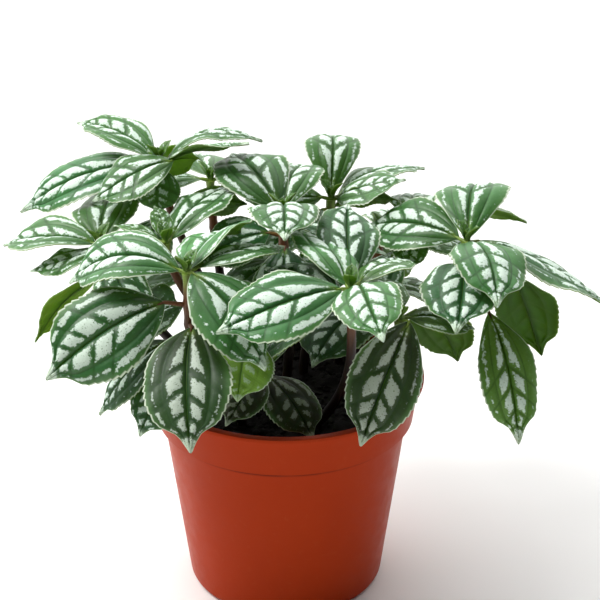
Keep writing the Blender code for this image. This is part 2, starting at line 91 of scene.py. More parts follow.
# Stems, petioles and midribs. Their rings are the places worked out along them, their tapers the
# shares of their radius that they lose, and NODE_LENGTH is a share of the stem's height.
STEM_RADIUS = 2.2
STEM_TIP_RADIUS = 1.7
STEM_DEPTH = 12.0
STEM_CLEAR = 1.0
LOW_BEND = 0.35
TOP_BEND = 0.30
STEM_RINGS = 26
NODE_SWELLING = 0.45
NODE_LENGTH = 0.022
PETIOLE_RADIUS = 1.05
PETIOLE_RISE = 15
PETIOLE_BOW = 0.08
BOWED_FROM = 12
PETIOLE_RINGS = 7
PETIOLE_TAPER = 0.3
RIB_RINGS = 10
RIB_RADIUS = 0.62
RIB_TAPER = 0.8
RIB_DROP = 0.45
PLANT_SHARP = 60

# Leaf blades: s runs along the midrib from the petiole to the tip, t runs across from -1 to 1
BLADE_THICK = 0.45
HALF_WIDTH = 0.29
LEAST_HALF_WIDTH = 0.7
ROUNDNESS = 0.75
TIP_FROM = 0.8
TIP_NARROWING = 0.6
DRIP_TIP = 0.32
DRIP_FROM, DRIP_TO = 0.8, 0.88
BLADE_FOLD = 0.14
BLADE_CUP = 0.24
BOW_AT_FOOT = 1.15
BOW_FALL = 0.3
TEETH = 12
TEETH_FROM = 0.26
TEETH_TO = 0.96
TOOTH_OUT = 0.045
TOOTH_PEAK = 0.88
TOOTH_BASE = 0.4
LEAF_SEED = 7

# How the cross veins divide a blade along s, how much they slant, and where its side veins run
CROSS_VEINS = (-0.30, 0.02, 0.39, 0.57, 0.73, 0.87, 1.02)
VEIN_SLANT = 0.24
CELL_SLANTED = 0.8
SIDE_VEIN = 0.54

# Where a blade has points: rows along s at its foot, in each tooth and at its tip, lanes along t
FOOT_ROWS = (0, 0.015, 0.04, 0.07, 0.10, 0.135, 0.17, 0.20, 0.23)
TOOTH_ROWS = (0, 0.45, TOOTH_PEAK)
TIP_ROWS = (TEETH_TO, 0.975, 0.99, 1)
BLADE_LANES = (0, 0.03, 0.07, 0.12, 0.18, 0.24, 0.30, 0.36, 0.42, 0.47, 0.51, 0.54, 0.57, 0.61, 0.66,
               0.72, 0.78, 0.84, 0.90, 0.955, 1)
YOUNG_ROWS = [k / 14 for k in range(15)]
YOUNG_LANES = (0, 0.06, 0.2, 0.4, 0.54, 0.7, 0.85, 1)

# How blades differ: the most twist and bend aside, how far a cross vein strays, how high the margin
# waves as a share of the blade's length and how often. tone is how fresh and well lit a leaf is.
TWIST = 0.3
ASIDE = 0.22
VEIN_STRAY = 0.03
WAVE_HEIGHT = (0.015, 0.036)
WAVES = (1.3, 2.3)
TONE_LEAST = 0.05
TONE_BY_HEIGHT = 0.5
LIT_HEIGHTS = (138, 160)
TONE_BY_CHANCE = 0.42

# The silver pattern: its two rows between midrib and margin as shares of the half width, the reach
# of its torn and fringed edges in mm, and the fine veins in one cell. It starts SILVER_FROM up the
# blade, as sharply as on a leaf of SILVER_ONSET mm.
INNER_ROW = (0.11, 0.20)
INNER_ROW_SWELL = 0.26
OUTER_ROW = 0.78
SPOT_HALF = 0.065
SPOT_SIZES = (-0.5, 1.0)
BOLDNESS = (-1.0, 1.4)
SILVER_FROM = 0.05
SILVER_ONSET = 60
TORN_EDGE = 2.2
FRINGED_EDGE = 2.6
FINE_VEINS = 5

# The quilting: height of the puffs and depth of the midrib's groove on a blade of 45 mm, and the
# widths of the cross veins and of that groove, in mm
QUILTED_LENGTH = 45
PUFF = 1.05
RIB_GROOVE = 0.6
CROSS_VEIN_WIDTH = 0.9
RIB_GROOVE_WIDTH = 0.55

# The youngest leaves at the top of each stem: (turn from the stem's first leaf, rise, length)
YOUNG_LEAVES = ((60, 56, 9.0), (240, 56, 9.0), (150, 74, 5.0), (330, 74, 5.0))
YOUNG_SLIM = 0.29
YOUNG_FOLD = 0.5
YOUNG_PETIOLE = 1.6
YOUTH_OF_YOUNG = 0.45

# Camera, fitted to the rim and foot of the pot in the photograph
CAMERA_PLACE = (6.4, -569.2, 391.7)
CAMERA_TILT = 65.43
CAMERA_LENS = 88.7

# Studio, in metres: the floor, the softbox and how the sky brightens towards the top and the back
FLOOR_FACETS = 96
FLOOR_RADIUS = 10.0
FLOOR_HEIGHT = -0.0004
KEY_PLACE = Vector((-0.55, -0.05, 0.95))
KEY_AIM = Vector((0, 0, 0.12))
KEY_SIZE = 0.4
KEY_POWER = 8.0
KEY_COLOUR = (1.0, 0.99, 0.97)
SKY_SLOPE = (-0.15, 0.7, 0.5)
SKY_FROM_TO = (-0.1, 0.9, 0.03, 2.1)


def leaf(up, heading, rise, length, roll=0, arch=0.1, petiole=4, **shape):
    """A leaf as it sits on its stem.

    up is how far along the stem it grows, heading and rise point its midrib in degrees, roll turns it
    about the midrib and arch bows it. shape may give half (width), fold, right_fold for a right half
    that stands up, youth for a pale leaf or, below 0, an aged dull one whose darker, browner colour is
    partly painted shade, fresh for one painted lighter as it catches more light, and leave_heading and
    leave_rise for a petiole that sets off another way than the blade.
    """
    return dict(up=up, heading=heading, rise=rise, length=length, roll=roll, arch=arch,
                petiole=petiole, **shape)


# Each stem: where it stands in the soil, where its top is, which way it sways first, and its leaves
STEMS = {
    "stem_front_left": dict(foot=(-18, -24), head=(-38, -37, 160), sway=(-22, -14), leaves=(
        leaf(1, 164, -14, 49, -22, .2, 3, fold=.3, fresh=.35),
        leaf(1, 64, 0, 43, -4, .12, 2, half=15, right_fold=.7, fresh=.5),
        leaf(1, -37, -42, 48, 14, .12, 3, half=18),
        leaf(1, 34, -2, 41, -2, .1, 5, half=11),
        leaf(.8, -160, -28, 55, -46, .08, 10, half=18, youth=-.2),
        leaf(.68, -88, -38, 53, 0, .12, 7.5, half=17, leave_heading=-78, youth=-.55),
        leaf(.55, -168, -47, 42, -20, .1, 10),
        leaf(.46, -133, -48, 34, -12, .1, 9, half=12.5),
        leaf(.56, -104, -50, 27, 0, .1, 23, half=13, leave_heading=0, leave_rise=8, youth=.9),
    )),
    "stem_front_right": dict(foot=(14, -26), head=(26, -44, 156), sway=(18, -6), leaves=(
        leaf(1, -156, -10, 53, -26, .08, 4, half=16),
        leaf(1, 46, -2, 32, -10, .12, 5, half=11),
        leaf(1, 118, 12, 40, 4, .14, 3, half=13.5, fresh=.5),
        leaf(1, -80, -4, 43, 14, .16, 3.5, half=13.2, leave_heading=0),
        leaf(.84, 166, -40, 40, -10, .08, 7),
        leaf(.88, 136, 0, 42, -16, .1, 6, half=11),
        leaf(.93, 90, 24, 44, 0, .14, 10),
    )),
    "stem_right": dict(foot=(32, -6), head=(75, -6, 160), sway=(10, 0), leaves=(
        leaf(1, 76, 3, 46, 0, .28, 3, half=15.5, fresh=.3),
        leaf(1, 141, -8, 47, -30),
        leaf(1, -82, -10, 46, 0, .16, 4, half=15.5),
        leaf(1, -14, -24, 60, -6, .05, 5),
        leaf(.88, -98, -14, 45, 0, .16, 8, half=16.5),
        leaf(.86, 22, -68, 43, -46, .1, 23, half=13.5, leave_heading=0, leave_rise=-14),
        leaf(.82, -68, -57, 55, 0, .08, 22, half=12, leave_heading=-46, leave_rise=-38, youth=.4),
    )),
    "stem_left": dict(foot=(-30, -2), head=(-78, 6, 154), sway=(-10, 0), leaves=(
        leaf(1, 162, -9, 44, -10, .1, 2, fold=.45),
        leaf(1, 83, 12, 45, -4, .12, 2, half=15),
        leaf(.97, 178, -19, 31, -20, .05, 4, half=7, leave_heading=-90),
        leaf(.88, -62, -30, 34, 0, .1, 5, half=12),
        leaf(.76, -150, -38, 37, 66, .1, 8, half=7.5, youth=.85),
        leaf(.62, -10, -4, 17, 40, .1, 4, half=8.5),
    )),
    "stem_back_left": dict(foot=(-22, 20), head=(-54, 35, 181), sway=(-6, 4), leaves=(
        leaf(1, 154, 15, 40, -4, .1, 3, fold=.38, fresh=.3),
        leaf(1, 8, 8, 42, -10, .2, 3, half=10),
        leaf(1, -26, 18, 43, -20, .06, 3, half=7),
        leaf(1, -160, -22, 38, -22, .14, 8, half=13.5, leave_heading=-40),
        leaf(.96, 174, -22, 64, -24, .1, 4, half=13, fresh=.35),
        leaf(.9, 20, 6, 20, -66, .1, 10, half=8.5, leave_heading=112, youth=.9),
        leaf(.72, -122, -34, 34, -10, .1, 8, half=12),
        leaf(.97, -90, -62, 20, 0, .1, 3, half=10),
        leaf(.72, -2, 2, 29, -58, .12, 9, half=9, leave_heading=70),
    )),
    "stem_middle": dict(foot=(0, 4), head=(-1, 8, 168), sway=(4, 4), leaves=(
        leaf(1, 120, 14, 44, -14, .18, 3, half=16),
        leaf(1, 72, 9, 38, 0, .18, 3, half=13),
        leaf(1, -88, 6, 42, 0, .18, 2, half=14),
        leaf(.86, -178, -20, 30, -42, .1, 6, half=12),
        leaf(.9, -16, -14, 38, 0, .1, 8),
        leaf(.8, -84, -54, 31, 0, .1, 6, half=13),
        leaf(.7, -152, -34, 28, -20, .1, 6, half=11),
    )),
    "stem_back": dict(foot=(8, 24), head=(20, 42, 161), sway=(2, 4), leaves=(
        leaf(1, 90, 20, 40, 0, .34, 3, half=12.3),
        leaf(1, -22, 22, 34, 20, .1, 3, half=13),
        leaf(1, 176, -4, 34, -34, .06, 4),
        leaf(1, 28, 6, 45, -6, .12, 4, half=13),
        leaf(.84, -88, -34, 38, 0, .1, 8, half=12),
        leaf(.93, -140, -24, 36, 0, .1, 5, half=13),
        leaf(.95, -8, 8, 28, -50, .12, 2, half=9.5),
    )),
    "stem_back_right": dict(foot=(28, 14), head=(54, 28, 156), sway=(4, 4), leaves=(
        leaf(1, 84, -6, 36, 0, .12, 3),
        leaf(1, -94, -28, 28, 0, .12, 4),
        leaf(1, 8, -6, 48, -26, .12, 5, youth=.5),
        leaf(.8, -120, -36, 40, 0, .1, 6, half=12),
        leaf(.45, -128, -16, 46, 0, .1, 3, half=17),
    )),
    "stem_low_right": dict(foot=(32, -26), head=(46, -34, 138), sway=(5, 0), leaves=(
        leaf(1, -132, -57, 53, -38, .08, 6, half=14.5, leave_heading=-50, youth=-.7),
        leaf(1, 34, -52, 38, -30, .08, 9, half=13),
        leaf(1, 6, -14, 28, 16, .1, 4, half=9.5),
        leaf(1, 100, 6, 30),
    )),
    "stem_centre_left": dict(foot=(-10, -8), head=(-49, -4, 159), sway=(-8, 0), leaves=(
        leaf(1, 52, 15, 42, -4, .14, 3, half=13),
        leaf(1, 168, 14, 20, 0, .14, 3),
        leaf(1, -125, 0, 15, 0, .1, 3),
        leaf(1, 112, 40, 16, 0, .1, 3),
        leaf(.6, -60, -45, 32, 0, .1, 5, half=12),
        leaf(.6, -150, -20, 34, 0, .1, 6, half=12),
    )),
    "stem_low_front": dict(foot=(-6, -14), head=(-9, -22, 107), sway=(0, 0), leaves=(
        leaf(1, -55, -23, 37, 0, .1, 2, half=12, youth=-1),
        leaf(1, -115, -14, 32, 0, .1, 3, youth=-1),
        leaf(1, 90, 10, 30),
    )),
    "stem_rear_left": dict(foot=(-26, 30), head=(-34, 58, 164), sway=(0, 0), leaves=(
        leaf(1, 100, -8, 44),
        leaf(1, -175, -14, 42),
        leaf(1, 5, 4, 40, -10, .1, 4, half=13),
        leaf(.8, 140, -40, 42, 0, .1, 6),
        leaf(.72, -40, -36, 38, 0, .1, 6, half=13),
        leaf(.44, 168, -14, 44, 0, .1, 8, half=15),
    )),
    "stem_rear_right": dict(foot=(24, 34), head=(44, 60, 138), sway=(0, 0), leaves=(
        leaf(1, 80, -14, 44),
        leaf(1, -5, -16, 44),
        leaf(1, 165, -6, 38),
        leaf(.8, 70, -50, 42, 0, .1, 6),
        leaf(.56, 118, -22, 44, 0, .1, 8, half=15),
        leaf(.5, 12, -18, 42, 0, .1, 8, half=14),
    )),
}


def deselect():
    """Nothing selected and nothing active, ready for the next operator."""
    bpy.ops.object.select_all(action="DESELECT")
    bpy.context.view_layer.objects.active = None


def new_object(name, data):
    """A new object of some data, in the scene."""
    made = bpy.data.objects.new(name, data)
    bpy.context.scene.collection.objects.link(made)
    return made


def pick(item):
    """Make one object the selected and active one."""
    deselect()
    item.select_set(True)
    bpy.context.view_layer.objects.active = item


def apply_modifiers(item):
    """Apply all of an object's modifiers, in order."""
    pick(item)
    for modifier in list(item.modifiers):
        bpy.ops.object.modifier_apply(modifier=modifier.name)


def merged(items, name):
    """Join objects into one, named piece."""
    deselect()
    for item in items:
        item.select_set(True)
    bpy.context.view_layer.objects.active = items[0]
    bpy.ops.object.join()
    items[0].name = name
    items[0].data.name = name
    return items[0]


def settle(item):
    """Move an object's place into its mesh, so that the object sits at the origin."""
    pick(item)
    bpy.ops.object.transform_apply(location=True, rotation=True, scale=True)


def coat(piece, *materials):
    """Give a piece its materials, in place of any it has."""
    piece.data.materials.clear()
    for material in materials:
        piece.data.materials.append(material)


def finish(piece, sharp, node):
    """Smooth a piece but for edges of more than sharp degrees, attach it to the root body and hide the
    imported part it stands in for.
    """
    pick(piece)
    bpy.ops.object.shade_smooth_by_angle(angle=math.radians(sharp))
    settle(piece)
    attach(piece, ROOT)
    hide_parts(node)


def linear(hex_colour):
    """An sRGB hex colour as linear red, green, blue and alpha."""
    parts = [int(hex_colour[i:i + 2], 16) / 255 for i in (1, 3, 5)]
    return [c / 12.92 if c <= 0.04045 else ((c + 0.055) / 1.055) ** 2.4 for c in parts] + [1.0]


def add(tree, kind, links=(), out=0, **settings):
    """Add one shader node with its settings and links, and give back one of its outputs.

    links gives its sockets, in order or each by its number or name, a value, a hex colour or another
    node's output.
    out is the output's number or name, or None for all of them.
    """
    node = tree.nodes.new("ShaderNode" + kind)
    for key, value in settings.items():
        setattr(node, key, value)
    for socket, source in links.items() if isinstance(links, dict) else enumerate(links):
        if isinstance(source, bpy.types.NodeSocket):
            tree.links.new(source, node.inputs[socket])
        else:
            node.inputs[socket].default_value = linear(source) if isinstance(source, str) else source
    return node.outputs if out is None else node.outputs[out]


# A Mix node of colours has its share at socket 0 and its two colours at 6 and 7, and gives output 2.
# It takes a share below 0 as 0.
SHARE, UNDER, OVER = 0, 6, 7
COLOURS = {"out": 2, "data_type": "RGBA"}
SMOOTH = {"interpolation_type": "SMOOTHSTEP"}


def new_material(name, **shader_values):
    """An empty material with a Principled shader, whose even values are set here."""
    made = bpy.data.materials.new(name)
    made.use_nodes = True
    shader = made.node_tree.nodes["Principled BSDF"]
    for socket, value in shader_values.items():
        shader.inputs[socket.replace("_", " ")].default_value = value
    return made, made.node_tree, shader


def feed(tree, shader, **outputs):
    """Link nodes' outputs to the sockets of a shader."""
    for socket, source in outputs.items():
        tree.links.new(source, shader.inputs[socket.replace("_", " ")])


def blade_places(tree):
    """Where a place lies on its blade, read from the attributes silver and place.

    Gives how far inside a silver row it is, in mm, its place along the cross veins, in cells, how far
    it is from the nearest cross vein, in mm, s, how far across it is, and how young the leaf is.
    """
    rows = add(tree, "Attribute", out="Vector", attribute_name="silver")
    place = add(tree, "Attribute", out="Vector", attribute_name="place")
    inside, cells, cell_mm = add(tree, "SeparateXYZ", (rows,), out=None)
    s, t, youth = add(tree, "SeparateXYZ", (place,), out=None)
    part = add(tree, "Math", (cells, 0.5), operation="PINGPONG")
    from_vein = add(tree, "Math", (part, cell_mm), operation="MULTIPLY")
    across = add(tree, "Math", (t,), operation="ABSOLUTE")
    return inside, cells, from_vein, s, across, youth


def silver_patches(tree, spot, inside, from_vein, youth, tone):
    """Where silver shows: inside its row, clear of the cross veins, with a torn edge and small pits."""
    torn = add(tree, "TexNoise", {"Vector": spot, "Scale": 1 / (2.4 * MM)})
    fringe = add(tree, "TexNoise", {"Vector": spot, "Scale": 1 / (0.8 * MM), "Detail": 3, "Roughness": 0.7})
    pits = add(tree, "TexNoise", {"Vector": spot, "Scale": 1 / (0.55 * MM), "Detail": 1})
    beside_vein = add(tree, "MapRange", (tone, 0, 1, 1.2, 0.75), **SMOOTH)
    clear = add(tree, "Math", (from_vein, beside_vein), operation="SUBTRACT")
    depth = add(tree, "Math", (inside, clear, 0.7), operation="SMOOTH_MIN")
    for waver, reach in ((torn, TORN_EDGE), (fringe, FRINGED_EDGE)):
        depth = add(tree, "Math", (waver, reach, depth), operation="MULTIPLY_ADD")
    edge = (TORN_EDGE + FRINGED_EDGE) / 2
    silver = add(tree, "MapRange", (depth, edge - 0.12, edge + 0.22), **SMOOTH)
    unpitted = add(tree, "MapRange", (pits, 0.28, 0.35), **SMOOTH)
    grown = add(tree, "MapRange", (youth, 0.6, 0.9, 1, 0.4), **SMOOTH)
    for share in (unpitted, grown):
        silver = add(tree, "Math", (silver, share), operation="MULTIPLY")
    return silver


def green_skin(tree, spot, from_vein, s, across, youth, tone):
    """The green between the patches: fresher and painted lighter where lit, painted shade at the foot,
    and darker along the veins.
    """
    cloudy = add(tree, "TexNoise", {"Vector": spot, "Scale": 1 / (8.0 * MM), "Detail": 3})
    grain = add(tree, "TexNoise", {"Vector": spot, "Scale": 1 / (1.3 * MM), "Detail": 3, "Roughness": 0.65})
    patchy = add(tree, "TexNoise", {"Vector": spot, "Scale": 1 / (12.0 * MM)})
    lit = add(tree, "MapRange", (tone, 0.85, 1.35), **SMOOTH)
    low = add(tree, "MapRange", (s, 0.65, 0.05, 0, 0.95), **SMOOTH)
    inner = add(tree, "MapRange", (tone, 0.9, 0.1, 0.3, 1), **SMOOTH)
    shaded = add(tree, "Math", (low, inner), operation="MULTIPLY")
    speckle = add(tree, "MapRange", (grain, 0.5, 0.78, 0, 0.5), **SMOOTH)
    # Below 0, youth browns and darkens the green: partly age, partly painted shade on leaves low in the
    # plant.
    aged_and_shaded = add(tree, "Math", (youth, -1), operation="MULTIPLY")
    young = add(tree, "Math", (youth, 0.9), operation="MULTIPLY")
    aside = add(tree, "Math", (across, SIDE_VEIN), operation="SUBTRACT")
    from_side_vein = add(tree, "Math", (aside,), operation="ABSOLUTE")
    side_vein = add(tree, "MapRange", (from_side_vein, 0.05, 0), **SMOOTH)
    cross_vein = add(tree, "MapRange", (from_vein, 0.7, 0.1), **SMOOTH)
    vein = add(tree, "Math", (side_vein, cross_vein), operation="MAXIMUM")
    dark = add(tree, "MapRange", (youth, 0.3, 0.9, 0.55, 0.15), **SMOOTH)
    dark_vein = add(tree, "Math", (vein, dark), operation="MULTIPLY")
    groove = add(tree, "MapRange", (across, 0.1, 0, 0, 0.5), **SMOOTH)
    midrib = add(tree, "MapRange", (across, 0.03, 0.012, 0, 0.5), **SMOOTH)
    outer = add(tree, "MapRange", (across, 0.78, 0.97), **SMOOTH)
    rim = add(tree, "Math", (outer, patchy), operation="MULTIPLY")
    green = add(tree, "Mix", {SHARE: tone, UNDER: "#0b2011", OVER: "#458c50"}, **COLOURS)
    for share, tint in ((lit, "#6ab873"), (cloudy, "#265733"), (shaded, "#0c2213"), (speckle, "#5c8f62"),
                        (aged_and_shaded, "#24210f"), (young, "#86b23c"), (dark_vein, "#14351a"),
                        (groove, "#1b4020"), (midrib, "#4f7f45"), (rim, "#5d8a4e")):
        green = add(tree, "Mix", {SHARE: share, UNDER: green, OVER: tint}, **COLOURS)
    return green


def silvered_leaf():
    """Living leaf, upper side: a satin dark green skin, silvery white where air lies under it.

    The pattern follows the blade by its attributes. tone is how fresh and well lit the leaf is, from 0
    to about 1.5.
    """
    made, tree, shader = new_material("silvered_leaf", Specular_IOR_Level=0.4)
    inside, cells, from_vein, s, across, youth = blade_places(tree)
    tone = add(tree, "Attribute", out="Fac", attribute_name="tone")
    spot = add(tree, "TexCoord", out="Object")
    silver = silver_patches(tree, spot, inside, from_vein, youth, tone)
    bright = add(tree, "TexNoise", {"Vector": spot, "Scale": 1 / (2.2 * MM)})
    # Below 0, youth dulls and greys the silver: partly age, partly painted shade.
    aged_and_shaded = add(tree, "Math", (youth, -1), operation="MULTIPLY")
    white = add(tree, "Mix", {SHARE: bright, UNDER: "#c6dccb", OVER: "#e8f8eb"}, **COLOURS)
    white = add(tree, "Mix", {SHARE: aged_and_shaded, UNDER: white, OVER: "#959e8a"}, **COLOURS)
    green = green_skin(tree, spot, from_vein, s, across, youth, tone)
    colour = add(tree, "Mix", {SHARE: silver, UNDER: green, OVER: white}, **COLOURS)
    end = add(tree, "MapRange", (s, 0.88, 0.97, 0, 0.55), **SMOOTH)
    beside_rib = add(tree, "MapRange", (across, 0.05, 0.3), **SMOOTH)
    tip = add(tree, "Math", (end, beside_rib), operation="MULTIPLY")
    start = add(tree, "MapRange", (s, 0.16, 0, 0, 0.8), **SMOOTH)
    near_rib = add(tree, "MapRange", (across, 0.5, 0), **SMOOTH)
    foot = add(tree, "Math", (start, near_rib), operation="MULTIPLY")
    margin = add(tree, "MapRange", (across, 0.945, 0.98, 0, 0.9), **SMOOTH)
    for share, tint in ((tip, "#c9dcbc"), (foot, "#8fae3f"), (margin, "#dbe6cf")):
        colour = add(tree, "Mix", {SHARE: share, UNDER: colour, OVER: tint}, **COLOURS)
    worn = add(tree, "MapRange", (tone, 0.7, 0.1, 0.38, 0.6), **SMOOTH)
    airy = add(tree, "MapRange", (silver, 0, 1, 0.3, 0.5), **SMOOTH)
    dull = add(tree, "Math", (worn, airy), operation="MAXIMUM")
    fine_vein = add(tree, "Math", (cells, 0.5 / FINE_VEINS), operation="PINGPONG")
    net = add(tree, "MapRange", (fine_vein, 0, 0.2 / FINE_VEINS, 0, 0.45), **SMOOTH)
    grain = add(tree, "TexNoise", {"Vector": spot, "Scale": 1 / (0.6 * MM)})
    height = add(tree, "Math", (net, grain), operation="ADD")
    skin = add(tree, "Bump", {"Strength": 0.35, "Distance": 0.16 * MM, "Height": height})
    feed(tree, shader, Base_Color=colour, Roughness=dull, Normal=skin)
    let_through(tree, shader, add(tree, "MapRange", (silver, 0, 1, 0.11, 0.05), **SMOOTH))
    return made


def let_through(tree, shader, share):
    """Let a share of the light through a thin leaf, tinted yellow green."""
    through = add(tree, "BsdfTranslucent", {"Color": "#c0ec4a"})
    both = add(tree, "MixShader", (share, shader.outputs[0], through))
    feed(tree, tree.nodes["Material Output"], Surface=both)


def leaf_underside():
    """Living leaf, lower side: plain mid green without silver, paler along its raised veins."""
    made, tree, shader = new_material("leaf_underside", Roughness=0.5, Specular_IOR_Level=0.35)
    from_vein, _, across, youth = blade_places(tree)[2:]
    spot = add(tree, "TexCoord", out="Object")
    cloudy = add(tree, "TexNoise", {"Vector": spot, "Scale": 1 / (7.0 * MM)})
    vein = add(tree, "MapRange", (from_vein, 0.45, 0.1, 0, 0.25), **SMOOTH)
    margin = add(tree, "MapRange", (across, 0.955, 0.985, 0, 0.5), **SMOOTH)
    colour = add(tree, "Mix", {SHARE: cloudy, UNDER: "#233f15", OVER: "#32541d"}, **COLOURS)
    for share, tint in ((youth, "#7fa836"), (vein, "#5f7f38"), (margin, "#a8bf80")):
        colour = add(tree, "Mix", {SHARE: share, UNDER: colour, OVER: tint}, **COLOURS)
    grain = add(tree, "TexNoise", {"Vector": spot, "Scale": 1 / (0.8 * MM)})
    skin = add(tree, "Bump", {"Strength": 0.3, "Distance": 0.1 * MM, "Height": grain})
    feed(tree, shader, Base_Color=colour, Normal=skin)
    let_through(tree, shader, 0.36)
    return made


def living_stem():
    """Sappy stem and petioles: green at the top and reddish brown lower down, with fine streaks. Towards
    halfway down the brown darkens to near black, partly its own colour and partly painted shade.

    The streaks are about 1 mm wide and 11 mm long. tone is the height, from 0 at the soil to 1 at the
    stem's top.
    """
    made, tree, shader = new_material("living_stem", Roughness=0.45, Specular_IOR_Level=0.4)
    spot = add(tree, "TexCoord", out="Object")
    drawn_out = add(tree, "Mapping", {"Vector": spot, "Scale": (0.9 / MM, 0.9 / MM, 0.09 / MM)})
    streaks = add(tree, "TexNoise", {"Vector": drawn_out, "Scale": 1})
    height = add(tree, "Attribute", out="Fac", attribute_name="tone")
    # Lower down the colour darkens to near black: partly the stem's own brown, partly painted shade.
    flush_above_shade = add(tree, "MapRange", (height, 0.5, 0.92), **SMOOTH)
    fresh = add(tree, "MapRange", (height, 0.86, 0.99), **SMOOTH)
    streaked = add(tree, "MapRange", (streaks, 0.4, 0.7, 0, 0.4), **SMOOTH)
    colour = add(tree, "Mix", {SHARE: flush_above_shade, UNDER: "#1f120b", OVER: "#7a4c2a"}, **COLOURS)
    for share, tint in ((fresh, "#7f9c3c"), (streaked, "#3a2015")):
        colour = add(tree, "Mix", {SHARE: share, UNDER: colour, OVER: tint}, **COLOURS)
    skin = add(tree, "Bump", {"Strength": 0.3, "Distance": 0.15 * MM, "Height": streaks})
    feed(tree, shader, Base_Color=colour, Normal=skin)
    return made


def inside_collar(tree, spot, height):
    """Where the inner wall of the collar is, above the soil and below the lip."""
    slope = (COLLAR_TOP_RADIUS - COLLAR_FOOT_RADIUS) / (COLLAR_DEPTH - LIP_DEPTH)
    radius_at_table = (COLLAR_TOP_RADIUS - slope * (POT_HEIGHT - LIP_DEPTH)) * MM
    level = add(tree, "VectorMath", (spot, (1, 1, 0)), operation="MULTIPLY")
    from_axis = add(tree, "VectorMath", (level,), "Value", operation="LENGTH")
    collar = add(tree, "Math", (height, slope, radius_at_table), operation="MULTIPLY_ADD")
    depth = add(tree, "Math", (collar, from_axis), operation="SUBTRACT")
    inner = add(tree, "MapRange", (depth, 0.5 * MM, 1.0 * MM), **SMOOTH)
    above_foot = add(tree, "MapRange", (height, 78.4 * MM, 78.8 * MM), **SMOOTH)
    below_lip = add(tree, "MapRange", (height, 96.5 * MM, 91.0 * MM), **SMOOTH)
    between = add(tree, "Math", (above_foot, below_lip), operation="MULTIPLY")
    return add(tree, "Math", (inner, between), operation="MULTIPLY")


def moulded_polypropylene():
    """Thin injection-moulded pot: even terracotta red with a waxy half gloss and faint flow marks.

    Shade is painted in the corner under its collar, as a dark line, and on the inner wall of the
    collar above the soil.
    """
    made, tree, shader = new_material("moulded_polypropylene", IOR=1.49, Specular_IOR_Level=0.05)
    spot = add(tree, "TexCoord", out="Object")
    height = add(tree, "SeparateXYZ", (spot,), out=2)
    flow, dusty, blotchy, mottled, waxy, pebbled = (
        add(tree, "TexNoise", {"Vector": spot, "Scale": 1 / (size * MM), "Detail": fine, "Roughness": rough})
        for size, fine, rough in ((30, 3, 0.5), (4, 4, 0.7), (18, 3, 0.5), (9, 4, 0.5), (6, 3, 0.5),
                                    (1.4, 3, 0.5)))
    dust = add(tree, "MapRange", (dusty, 0.55, 0.8, 0, 0.1), **SMOOTH)
    # Painted shade: a dark, uneven line in the corner under the collar's ledge, where the collar shades the
    # wall.
    above_line = add(tree, "Math", (height, SHADE_LINE_HEIGHT * MM), operation="SUBTRACT")
    from_line = add(tree, "Math", (above_line,), operation="ABSOLUTE")
    line = add(tree, "MapRange", (from_line, 1.7 * MM, 0.2 * MM), **SMOOTH)
    uneven = add(tree, "MapRange", (blotchy, 0.3, 0.6, 0.4, 0.85), **SMOOTH)
    painted_shade_line = add(tree, "Math", (line, uneven), operation="MULTIPLY")
    # Painted shade: the inner wall of the collar, above the soil, darkened to near black in uneven patches.
    uneven_inner_shade = add(tree, "MapRange", (mottled, 0.3, 0.6, 0.6, 0.95), **SMOOTH)
    painted_inner_shade = add(tree, "Math", (inside_collar(tree, spot, height), uneven_inner_shade), operation="MULTIPLY")
    colour = add(tree, "Mix", {SHARE: flow, UNDER: "#a5320c", OVER: "#ad370e"}, **COLOURS)
    # Of the tints below, #bf6a42 is dust; #4a1a0c and #2a130b are painted shade.
    for share, tint in ((dust, "#bf6a42"), (painted_shade_line, "#4a1a0c"), (painted_inner_shade, "#2a130b")):
        colour = add(tree, "Mix", {SHARE: share, UNDER: colour, OVER: tint}, **COLOURS)
    gloss = add(tree, "MapRange", (waxy, 0.3, 0.7, 0.32, 0.42), **SMOOTH)
    skin = add(tree, "Bump", {"Strength": 0.15, "Distance": 0.15 * MM, "Height": pebbled})
    feed(tree, shader, Base_Color=colour, Roughness=gloss, Normal=skin)
    return made


def damp_peat():
    """Peat potting soil: nearly black and dull, with brown fibres."""
    made, tree, shader = new_material("damp_peat", Roughness=0.95, Specular_IOR_Level=0.2)
    spot = add(tree, "TexCoord", out="Object")
    damp = add(tree, "TexNoise", {"Vector": spot, "Scale": 1 / (1.5 * MM), "Detail": 4, "Roughness": 0.7})
    fibrous = add(tree, "TexNoise", {"Vector": spot, "Scale": 1 / (0.7 * MM)})
    crumbly = add(tree, "TexNoise", {"Vector": spot, "Scale": 1 / (0.9 * MM), "Detail": 4, "Roughness": 0.7})
    fibres = add(tree, "MapRange", (fibrous, 0.62, 0.7), **SMOOTH)
    colour = add(tree, "Mix", {SHARE: damp, UNDER: "#060403", OVER: "#140e0a"}, **COLOURS)
    colour = add(tree, "Mix", {SHARE: fibres, UNDER: colour, OVER: "#1d1610"}, **COLOURS)
    rough = add(tree, "Bump", {"Strength": 0.8, "Distance": 0.6 * MM, "Height": crumbly})
    feed(tree, shader, Base_Color=colour, Normal=rough)
    return made


def white_board():
    """Matt white studio board under the pot, very slightly uneven in its white."""
    made, tree, shader = new_material("white_board", Roughness=0.8)
    spot = add(tree, "TexCoord", out="Object")
    cloudy = add(tree, "TexNoise", {"Vector": spot, "Scale": 1 / (60.0 * MM)})
    colour = add(tree, "Mix", {SHARE: cloudy, UNDER: "#f7f7f5", OVER: "#fbfbfa"}, **COLOURS)
    feed(tree, shader, Base_Color=colour)
    return made


